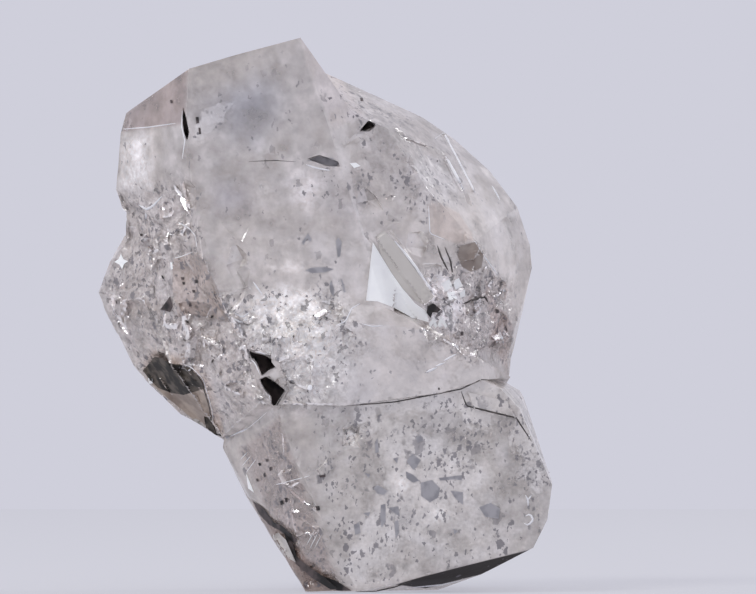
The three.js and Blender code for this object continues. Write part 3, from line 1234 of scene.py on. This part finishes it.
@dataclass
class Lines:
    """Thin lines of one kind that follow the skin and taper at their ends."""

    name: str
    finish: Finish
    lines: Sequence[Line]
    step: float = 0.04
    sides: int = 5
    sunk: float = 0.3
    tip: float = 0.25

    def build(self, skin: Skin) -> bpy.types.Object:
        """Lays the lines on the skin.

        Args:
            skin: The stone's skin.

        Returns:
            The finished piece.
        """
        curve = bpy.data.curves.new(self.name, "CURVE")
        curve.dimensions = "3D"
        for line in self.lines:
            self.lay(curve, line, skin)
        piece = bpy.data.objects.new(self.name, curve)
        bpy.context.scene.collection.objects.link(piece)
        return made_mesh(piece, self.tree(), {"Sides": self.sides}, self.finish.value.material())

    def lay(self, curve: bpy.types.Curve, line: Line, skin: Skin) -> None:
        """Adds one line to the curve.

        Args:
            curve: The curve that holds the lines.
            line: The line.
            skin: The skin that it follows.
        """
        corners = np.array(line.path)
        lengths = np.linalg.norm(np.diff(corners, axis=0), axis=1)
        along = np.concatenate([[0.0], np.cumsum(lengths)])
        stops = np.linspace(0, along[-1], max(3, int(along[-1] / self.step)))
        flat = np.stack([np.interp(stops, along, corners[:, axis]) for axis in range(2)], axis=1)
        met = [(*skin.front(tuple(place)), share) for place, share in zip(flat, stops / along[-1])]
        spline = curve.splines.new("POLY")
        spline.points.add(len(met) - 1)
        for point, (spot, normal, share) in zip(spline.points, met):
            swelling = abs(math.sin(math.pi * share)) ** 0.5
            radius = 0.5 * line.width * (self.tip + (1 - self.tip) * swelling)
            spot = spot - normal * radius * self.sunk
            point.co = (*(spot * MM), 1.0)
            point.radius = radius

    def tree(self) -> bpy.types.NodeTree:
        """The tree that gives each line its thickness.

        Returns:
            The tree.
        """
        tree = new_tree(self.name, ["Sides"])
        graph = Graph(tree)
        given = graph.add("NodeGroupInput")
        around = graph.add(
            "GeometryNodeCurvePrimitiveCircle",
            {"mode": "RADIUS"},
            {"Resolution": given.outputs["Sides"], "Radius": MM},
        )
        tube = graph.add(
            "GeometryNodeCurveToMesh",
            None,
            {
                "Curve": given.outputs["Geometry"],
                "Profile Curve": around.outputs[0],
                "Fill Caps": True,
                "Scale": graph.add("GeometryNodeInputRadius").outputs[0],
            },
        )
        finish_tree(graph, tube.outputs[0], given)
        return tree


# Dark cracks and the dark edges of facets.
CRACKS = (
    Line([(0.29, 2.78), (1.04, 2.84), (1.72, 2.97), (2.02, 3.03), (2.32, 3.17), (2.77, 3.15)], 0.022),
    Line([(2.02, 3.0), (2.1, 2.78), (2.84, 2.6), (3.07, 2.25)], 0.03),
    Line([(-2.17, 3.39), (-2.02, 3.34), (-1.93, 3.25), (-1.84, 3.16), (-1.78, 2.96), (-1.72, 2.73),
          (-1.7, 2.51), (-1.63, 2.32), (-1.55, 2.23)], 0.03),
    Line([(0.44, 0.03), (0.67, 0.01), (1.04, 0.09), (1.28, 0.18)], 0.05),
    Line([(1.67, 5.16), (1.73, 4.98), (1.84, 4.77)], 0.035),
    Line([(1.78, 5.14), (1.87, 4.92), (1.9, 4.72)], 0.03),
    Line([(2.06, 4.29), (2.2, 4.36), (2.39, 4.4), (2.44, 4.29)], 0.04),
    Line([(-1.13, 6.4), (-0.76, 6.42), (-0.43, 6.4)], 0.012),
)

# White streaks, some of them painted light: the white rods on the rear lobe and the bright triangle's edge
# are painted internal reflections, and the pale edges of facets are painted edge highlights.
STREAKS_AND_HIGHLIGHTS = (
    # Painted internal reflections: the white rods on the rear lobe.
    Line([(1.76, 6.9), (2.24, 5.96)], 0.06),
    Line([(1.8, 6.5), (2.07, 5.99)], 0.05),
    Line([(2.5, 6.07), (2.62, 5.85)], 0.05),
    # A painted internal reflection along the bright triangle's edge.
    Line([(1.03, 5.23), (1.16, 5.08), (1.37, 4.81), (1.63, 4.42)], 0.045),
    Line([(1.5, 3.28), (1.66, 3.35)], 0.04),
    Line([(1.64, 3.37), (1.78, 3.42)], 0.035),
    Line([(1.76, 3.45), (1.95, 3.55)], 0.03),
    Line([(-2.67, 5.7), (-2.67, 5.56)], 0.05),
    Line([(-2.78, 5.77), (-2.67, 5.7), (-2.57, 5.74), (-2.43, 5.89)], 0.05),
    Line([(-3.02, 6.9), (-2.62, 6.92), (-2.21, 6.97)], 0.02),
    Line([(-2.11, 7.15), (-2.12, 6.92), (-2.07, 6.71), (-2.09, 6.58), (-2.11, 6.44)], 0.025),
    Line([(-2.21, 5.52), (-2.02, 5.42), (-1.92, 5.31), (-1.89, 5.12)], 0.02),
    Line([(-2.27, 4.96), (-2.12, 5), (-1.96, 5.06)], 0.02),
    Line([(-1.36, 4.08), (-1.24, 4.02), (-1.13, 4.08)], 0.035),
    Line([(-1.34, 4.16), (-1.22, 4.09), (-1.12, 4.17)], 0.03),
    Line([(-2.17, 3.41), (-2, 3.36), (-1.9, 3.27), (-1.81, 3.17), (-1.75, 2.96), (-1.69, 2.73),
          (-1.67, 2.52)], 0.018),
    Line([(-1.12, 3.49), (-1.03, 3.42), (-0.96, 3.25)], 0.02),
    Line([(-1.04, 3.6), (-0.79, 3.52)], 0.018),
    Line([(-0.96, 3.13), (-0.82, 2.94), (-0.79, 2.8)], 0.018),
    Line([(-1.43, 2.31), (-1.15, 2.44)], 0.035),
    Line([(-1.15, 2.44), (-0.98, 2.58), (-0.86, 2.69)], 0.014),
    Line([(-1.06, 4.62), (-0.92, 4.42)], 0.03),
    Line([(0.16, 3.97), (0.31, 4.04), (0.4, 4.23), (0.52, 4.3)], 0.025),
    Line([(0.55, 4), (0.7, 3.96), (0.86, 3.97)], 0.02),
    Line([(-0.28, 6.36), (-0.14, 6.31), (0.08, 6.27)], 0.03),
    Line([(2.23, 5.23), (2.37, 5), (2.59, 4.72)], 0.03),
    Line([(1.54, 5.75), (1.56, 5.34), (1.78, 5.25)], 0.02),
    Line([(-1.29, 1.95), (-1.16, 2.08)], 0.015),
    Line([(-1.26, 1.85), (-1.11, 2.03)], 0.015),
    Line([(-1.18, 1.78), (-1.03, 1.98)], 0.015),
    Line([(-0.76, 1.6), (-0.22, 1.75)], 0.015),
    Line([(2.98, 1.45), (3.02, 1.38), (3.02, 1.29)], 0.035),
    Line([(3.07, 1.45), (3.02, 1.38)], 0.03),
    Line([(2.96, 1.03), (3.02, 1), (3.1, 1.08), (3.05, 1.17), (2.98, 1.14)], 0.035),
    Line([(-0.27, 0.72), (-0.15, 0.94)], 0.015),
    Line([(-0.22, 0.67), (-0.1, 0.91)], 0.015),
    Line([(-0.16, 0.66), (-0.05, 0.87)], 0.012),
    Line([(1.3, 0.07), (1.72, 0.1), (2.02, 0.16)], 0.05),
)


@dataclass
class Facets:
    """Patches of one finish with crisp sides: their outlines as [x, z]."""

    name: str
    finish: Finish
    outlines: Sequence[Sequence[Place]]
    step: float = 0.05
    raised: float = 0.006
    lift: float = 0.0
    thickness: float = 0.014

    def build(self, skin: Skin) -> bpy.types.Object:
        """Makes the patches.

        Args:
            skin: The stone's skin, which they follow.

        Returns:
            The finished piece.
        """
        work = bmesh.new()
        for outline in self.outlines:
            self.plate(work, outline, skin)
        bmesh.ops.recalc_face_normals(work, faces=work.faces)
        mesh = bpy.data.meshes.new(self.name)
        work.to_mesh(mesh)
        work.free()
        mesh.materials.append(self.finish.value.material())
        piece = bpy.data.objects.new(self.name, mesh)
        bpy.context.scene.collection.objects.link(piece)
        return piece

    def plate(self, work: bmesh.types.BMesh, outline: Sequence[Place], skin: Skin) -> None:
        """Adds one thin plate to the mesh.

        Args:
            work: The mesh.
            outline: The plate's outline.
            skin: The skin that it follows.
        """
        flat = np.array([(x, 0.0, z) for x, z in outline])
        corners = np.array(tessellate_polygon([[Vector(place) for place in flat]]))
        flat, corners = refined(flat, corners, lambda places: np.full(len(places), self.step))
        spots = np.array([skin.front((x, z))[0] for x, _, z in flat])
        level = np.column_stack([spots[:, [0, 2]], np.ones(len(spots))])
        slope = np.linalg.lstsq(level, spots[:, 1], rcond=None)[0]
        plane = level @ slope
        plane -= min(self.lift, np.max(plane - spots[:, 1]))
        spots[:, 1] = np.minimum(spots[:, 1], plane) - self.raised
        top = [work.verts.new(Vector(spot) * MM) for spot in spots]
        bottom = [work.verts.new(Vector(spot + (0.0, self.thickness, 0.0)) * MM) for spot in spots]
        for a, b, c in corners.tolist():
            work.faces.new((top[a], top[b], top[c]))
            work.faces.new((bottom[c], bottom[b], bottom[a]))
        sides = np.concatenate([corners[:, [0, 1]], corners[:, [1, 2]], corners[:, [2, 0]]])
        _, first, count = np.unique(np.sort(sides, axis=1), axis=0, return_index=True, return_counts=True)
        for a, b in sides[first[count == 1]].tolist():
            work.faces.new((top[b], top[a], bottom[a], bottom[b]))


# Painted highlights: the bright triangle, a painted internal reflection, then bright shards, a star and small
# glints.
PAINTED_HIGHLIGHT_FACETS = (
    [(0.71, 5.21), (0.83, 5.01), (0.99, 4.75), (1.16, 4.51), (1.34, 4.3), (1.51, 4.18), (1.54, 4.02),
     (1.29, 4.09), (1.02, 4.24), (0.78, 4.33), (0.61, 4.34)],
    [(1.73, 4.6), (1.85, 4.67), (1.9, 4.54), (1.79, 4.47)],
    [(1.9, 4.63), (1.99, 4.68), (2.05, 4.56), (1.94, 4.5)],
    [(1.81, 4.46), (1.93, 4.48), (1.97, 4.37), (1.85, 4.35)],
    [(1.99, 4.48), (2.08, 4.51), (2.09, 4.41), (2.02, 4.38)],
    [(1.54, 3.99), (1.61, 4.09), (1.63, 4.04), (1.57, 3.94)],
    [(1.63, 4.08), (1.67, 3.96), (1.64, 3.93), (1.6, 4.02)],
    [(1.67, 3.96), (1.72, 4.12), (1.75, 4.08), (1.72, 3.94)],
    [(1.73, 4.11), (1.82, 3.96), (1.79, 3.93), (1.72, 4.05)],
    [(-3.1, 4.96), (-3.06, 5.04), (-3.02, 4.96), (-2.95, 4.93), (-3.01, 4.89), (-3.04, 4.81),
     (-3.08, 4.88), (-3.16, 4.92)],
    [(-2.3, 4.91), (-2.27, 4.91), (-2.26, 4.81), (-2.29, 4.8)],
    [(-2.66, 3.18), (-2.6, 3.18), (-2.59, 3.1), (-2.65, 3.09)],
    [(0.37, 6.38), (0.46, 6.39), (0.53, 6.34), (0.43, 6.31)],
    [(-1.18, 1.77), (-1.13, 1.65), (-1.06, 1.48), (-1.15, 1.54)],
)

BEIGE_FACETS = (
    # The bar beside the bright triangle, painted pale as an internal reflection; the others are pale patches.
    [(0.77, 5.31), (0.88, 5.38), (1.02, 5.23), (1.34, 4.8), (1.62, 4.4), (1.5, 4.26), (1.36, 4.33),
     (1.16, 4.52), (0.99, 4.76), (0.83, 5.03)],
    [(-2.03, 2.55), (-1.9, 2.58), (-1.81, 2.49), (-1.82, 2.38), (-1.94, 2.42)],
    [(-0.85, 0.82), (-0.7, 0.89), (-0.58, 0.79), (-0.43, 0.45), (-0.59, 0.53), (-0.8, 0.69)],
)

# Painted shade: black plates in the two pits, the slit at the top left and the crease at the foot's lower
# left; the rest are dark specks and small dark bits.
SHADE_AND_SPECK_FACETS = (
    [(-1.14, 3.62), (-1.07, 3.57), (-0.88, 3.52), (-0.77, 3.46), (-0.79, 3.42), (-0.72, 3.36),
     (-0.84, 3.3), (-0.93, 3.23), (-0.99, 3.4), (-1.05, 3.48), (-1.12, 3.5)],
    [(-0.96, 3.17), (-0.83, 3.23), (-0.58, 3.01), (-0.7, 2.79), (-0.78, 2.79), (-0.79, 2.92),
     (-0.92, 3.08)],
    [(-2.1, 7.2), (-2.06, 7.04), (-2.01, 6.85), (-2.04, 6.7), (-2.09, 6.85), (-2.11, 7.04)],
    [(1.52, 4.26), (1.61, 4.3), (1.72, 4.21), (1.67, 4.16), (1.6, 4.17), (1.57, 4.08), (1.51, 4.16)],
    [(-1.08, 1.35), (-0.9, 1.24), (-0.76, 1.04), (-0.63, 0.99), (-0.4, 0.79), (-0.47, 0.74),
     (-0.65, 0.91), (-0.83, 1), (-0.98, 1.15)],
    [(-0.61, 0.89), (-0.48, 0.74), (-0.42, 0.53), (-0.23, 0.39), (-0.04, 0.26), (0.2, 0.06), (0.08, 0.06),
     (-0.2, 0.23), (-0.43, 0.43), (-0.55, 0.69)],
    [(-0.17, 0.28), (-0.04, 0.26), (0.17, 0.18), (0.4, 0.04), (0.19, 0.04), (-0.01, 0.14)],
    [(0.51, 6.87), (0.63, 7), (0.74, 7), (0.75, 6.94), (0.65, 6.9)],
    [(0.52, 7.38), (0.56, 7.38), (0.57, 7.33), (0.53, 7.33)],
    [(-2.3, 7.32), (-2.27, 7.32), (-2.26, 7.27), (-2.29, 7.27)],
    [(2.54, 4.21), (2.59, 4.21), (2.6, 4.16), (2.56, 4.15)],
    [(2.02, 3.88), (2.06, 3.88), (2.06, 3.82), (2.02, 3.82)],
    [(-0.14, 1.3), (-0.08, 1.3), (-0.07, 1.24), (-0.12, 1.23)],
    [(-2.45, 4.21), (-2.3, 4.41), (-2.26, 4.25), (-2.3, 4.17)],
    [(-1.91, 7.06), (-1.87, 7.06), (-1.86, 6.97), (-1.9, 6.96)],
    [(-1.87, 6.9), (-1.84, 6.9), (-1.83, 6.81), (-1.86, 6.8)],
    [(-2.14, 4.69), (-2.09, 4.69), (-2.09, 4.65), (-2.13, 4.65)],
    [(-2.12, 4.62), (-2.08, 4.62), (-2.08, 4.58), (-2.11, 4.58)],
    [(-1.93, 4.65), (-1.88, 4.65), (-1.88, 4.6), (-1.93, 4.6)],
    [(-1.97, 4.5), (-1.93, 4.5), (-1.92, 4.46), (-1.96, 4.46)],
    [(-2.02, 4.3), (-1.98, 4.3), (-1.98, 4.26), (-2.02, 4.25)],
    [(-1.69, 4.12), (-1.65, 4.12), (-1.65, 4.08), (-1.69, 4.08)],
    [(-2.44, 4.72), (-2.41, 4.71), (-2.38, 4.65), (-2.42, 4.67)],
    [(-1, 1.92), (-0.97, 1.93), (-0.95, 1.89), (-0.98, 1.88)],
    [(-0.88, 1.99), (-0.84, 1.99), (-0.84, 1.95), (-0.88, 1.95)],
    [(-0.83, 1.86), (-0.79, 1.88), (-0.79, 1.83), (-0.82, 1.81)],
    [(-0.92, 1.77), (-0.89, 1.78), (-0.88, 1.72), (-0.91, 1.71)],
    [(-1.03, 1.69), (-1, 1.69), (-0.99, 1.65), (-1.02, 1.65)],
    [(-0.67, 1.36), (-0.63, 1.38), (-0.62, 1.32), (-0.66, 1.3)],
    [(-0.6, 1.41), (-0.56, 1.41), (-0.56, 1.35), (-0.59, 1.35)],
    [(-0.08, 1.75), (0.01, 1.77), (0.01, 1.73), (-0.07, 1.72)],
)

SHADED_FACETS = (
    [(-2.74, 3.29), (-2.64, 3.4), (-2.55, 3.5), (-2.43, 3.48), (-2.34, 3.4), (-2.17, 3.39), (-2.02, 3.34),
     (-1.92, 3.25), (-1.84, 3.15), (-1.8, 3.03), (-1.95, 2.98), (-2.12, 2.93), (-2.32, 2.96),
     (-2.51, 3.03), (-2.63, 3.15)],
    [(-1.82, 2.61), (-1.72, 2.55), (-1.7, 2.49), (-1.63, 2.32), (-1.57, 2.25), (-1.67, 2.28), (-1.79, 2.4)],
)

TAN_FACETS = (
    [(-2.69, 3.2), (-2.63, 3.15), (-2.51, 3.03), (-2.32, 2.96), (-2.12, 2.93), (-1.95, 2.98),
     (-1.8, 3.03), (-1.74, 2.85), (-1.72, 2.58), (-1.82, 2.61), (-1.81, 2.46), (-2.03, 2.59),
     (-2.21, 2.75), (-2.41, 2.91), (-2.6, 3.09)],
)

BROWN_FACETS = (
    [(2.01, 5.15), (2.25, 5.22), (2.36, 5.01), (2.33, 4.83), (2.17, 4.77), (2.04, 4.85), (1.97, 5.01)],
)

GREY_FACETS = (
    [(1.21, 1.96), (1.3, 2.07), (1.42, 1.98), (1.36, 1.87), (1.31, 1.83)],
    [(1.2, 1.81), (1.31, 1.76), (1.4, 1.67), (1.31, 1.64), (1.21, 1.71)],
    [(1.42, 1.64), (1.59, 1.68), (1.71, 1.56), (1.68, 1.42), (1.56, 1.35), (1.43, 1.44)],
    [(1.69, 1.71), (2.03, 1.75), (2.04, 1.67), (1.94, 1.69), (1.71, 1.67)],
    [(1.86, 1.52), (2.05, 1.5), (2.05, 1.31), (1.94, 1.4)],
    [(2.29, 1.27), (2.46, 1.34), (2.6, 1.25), (2.58, 1.1), (2.38, 1.13)],
    [(0.72, 1.56), (0.78, 1.61), (0.93, 1.52), (0.88, 1.46), (0.78, 1.48)],
    [(1.01, 2), (1.09, 2.02), (1.07, 1.93)],
    [(1.35, 2.31), (1.42, 2.35), (1.47, 2.27), (1.37, 2.23)],
    [(0.74, 2.23), (0.78, 2.31), (0.8, 2.1), (0.75, 2.08)],
    [(0.83, 1.31), (0.9, 1.33), (0.9, 1.06), (0.84, 0.98), (0.82, 1.11)],
    [(1.03, 1.06), (1.09, 1.08), (1.1, 0.9), (1.05, 0.81)],
    [(0.43, 1.02), (0.51, 1.06), (0.53, 0.9), (0.45, 0.87)],
    [(0.57, 1.19), (0.67, 1.21), (0.65, 1.14)],
    [(0.94, 1.27), (1.09, 1.29), (1.11, 1.14), (0.99, 1.22)],
    [(0.59, 1.79), (0.67, 1.77), (0.65, 1.71)],
    [(1.9, 0.96), (1.98, 0.92), (1.92, 0.87)],
    [(-0.27, 6.42), (-0.1, 6.49), (0.12, 6.46), (0.22, 6.38), (0.15, 6.32), (-0.07, 6.38)],
    [(-0.29, 4.79), (-0.2, 4.83), (0.01, 4.84), (0.13, 4.81), (0.01, 4.76), (-0.2, 4.75)],
    [(0.16, 5.23), (0.2, 5.28), (0.25, 5.21), (0.23, 5.01), (0.19, 4.98)],
    [(0.07, 4.6), (0.1, 4.64), (0.14, 4.5), (0.13, 4.39), (0.08, 4.47)],
    [(0.23, 4.67), (0.26, 4.65), (0.31, 4.47), (0.28, 4.46)],
    [(-0.34, 5.21), (-0.25, 5.34), (-0.19, 5.25), (-0.22, 5.21), (-0.26, 5.27), (-0.32, 5.16)],
)

FACETS = (
    Facets("painted_highlight_facets", Finish.BRIGHT, PAINTED_HIGHLIGHT_FACETS, raised=0.01),
    Facets("beige_facets", Finish.BEIGE, BEIGE_FACETS),
    Facets("painted_shade_and_specks", Finish.BLACK, SHADE_AND_SPECK_FACETS, raised=0.012, lift=0.08),
    Facets("shaded_hollows", Finish.SHADED, SHADED_FACETS, raised=0.02, lift=0.06),
    Facets("tan_hollow", Finish.TAN, TAN_FACETS),
    Facets("brown_facets", Finish.BROWN, BROWN_FACETS),
    Facets("grey_flakes", Finish.GREY, GREY_FACETS),
)


@dataclass
class Studio:
    """The pale tent that the stone stands in: world, floor, lights and camera."""

    camera_distance: float = 157.5
    lens_mm: float = 500.0
    centre: Place = (0.7875, 4.395)
    tent_colour: Colour = (0.624, 0.624, 0.708)
    floor_half: float = 60.0
    floor_grey: float = 0.25
    floor_roughness: float = 0.8
    floor_glow: float = 0.65
    aim_height: float = 4.0
    nearest_m: float = 0.001

    def build(self) -> None:
        """Makes the whole studio."""
        self.world()
        self.floor()
        self.lights()
        self.camera()
        scene = bpy.context.scene
        scene.view_settings.view_transform = "Standard"
        scene.cycles.use_denoising = True
        scene.cycles.max_bounces = 32
        scene.cycles.transmission_bounces = 32
        scene.cycles.glossy_bounces = 16

    def world(self) -> None:
        """Makes the tent's even light."""
        world = bpy.data.worlds.new("tent")
        bpy.context.scene.world = world
        world.use_nodes = True
        graph = Graph(world.node_tree)
        light = graph.add("ShaderNodeBackground", None, {"Color": (*self.tent_colour, 1.0), "Strength": 1.0})
        graph.add("ShaderNodeOutputWorld", None, {"Surface": light.outputs[0]})

    def floor(self) -> None:
        """Makes the pale floor, which is not part of the object."""
        half = self.floor_half * MM
        mesh = bpy.data.meshes.new("floor")
        corners = [(-half, -half, 0), (half, -half, 0), (half, half, 0), (-half, half, 0)]
        mesh.from_pydata(corners, [], [(0, 1, 2, 3)])
        floor = bpy.data.objects.new("floor", mesh)
        bpy.context.scene.collection.objects.link(floor)
        material, graph = new_material("pale_floor")
        shader = graph.add(
            "ShaderNodeBsdfPrincipled",
            None,
            {
                "Base Color": (*(self.floor_grey,) * 3, 1.0),
                "Roughness": self.floor_roughness,
                "Specular IOR Level": 0.0,
                "Emission Color": (*self.tent_colour, 1.0),
                "Emission Strength": self.floor_glow,
            },
        )
        graph.add("ShaderNodeOutputMaterial", None, {"Surface": shader.outputs[0]})
        mesh.materials.append(material)

    def lamp(self, name: str, place: Sequence[float], size: float, power: float) -> None:
        """Adds a soft square lamp that points at the stone.

        Args:
            name: Its name.
            place: Where it hangs.
            size: Its width.
            power: Its power in watts.
        """
        data = bpy.data.lights.new(name, "AREA")
        data.size = size * MM
        data.energy = power
        lamp = bpy.data.objects.new(name, data)
        lamp.location = Vector(place) * MM
        aim = Vector((0, 0, self.aim_height * MM)) - lamp.location
        lamp.rotation_mode = "QUATERNION"
        lamp.rotation_quaternion = aim.to_track_quat("-Z", "Y")
        bpy.context.scene.collection.objects.link(lamp)

    def lights(self) -> None:
        """Adds the lamps that put glints on the stone."""
        self.lamp("key", (-60.0, -70.0, 90.0), 40.0, 0.05)
        self.lamp("rim", (80.0, 40.0, 60.0), 30.0, 0.02)

    def camera(self) -> None:
        """Adds the camera at the height of the stone's middle."""
        data = bpy.data.cameras.new("camera")
        data.lens = self.lens_mm
        data.clip_start = self.nearest_m
        camera = bpy.data.objects.new("camera", data)
        camera.location = Vector((self.centre[0], -self.camera_distance, self.centre[1])) * MM
        camera.rotation_euler = (math.radians(90), 0, 0)
        bpy.context.scene.collection.objects.link(camera)
        bpy.context.scene.camera = camera


def rides(piece: bpy.types.Object) -> None:
    """Puts a finished piece on the stone's body and reports it.

    Args:
        piece: The piece, with its material.
    """
    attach(piece, BODY)
    LOG.info("%s: %d faces", piece.name, len(piece.data.polygons))


def main() -> None:
    """Builds the stone, what is in its skin, and the studio."""
    logging.basicConfig(level=logging.INFO, format="%(name)s: %(message)s")
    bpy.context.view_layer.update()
    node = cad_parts[NODE]
    stone = Stone().build(node)
    stone.data.materials.clear()
    stone.data.materials.append(CrystalFinish().material())
    rides(stone)
    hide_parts(NODE)
    skin = Skin.of(stone.data)
    for strewn in STREWN:
        rides(strewn.build(stone))
    for facets in FACETS:
        rides(facets.build(skin))
    rides(Lines("hairline_cracks", Finish.DARK, CRACKS).build(skin))
    rides(Lines("white_streaks_and_highlights", Finish.WHITE, STREAKS_AND_HIGHLIGHTS).build(skin))
    Studio().build()


if __name__ == "__main__":
    main()
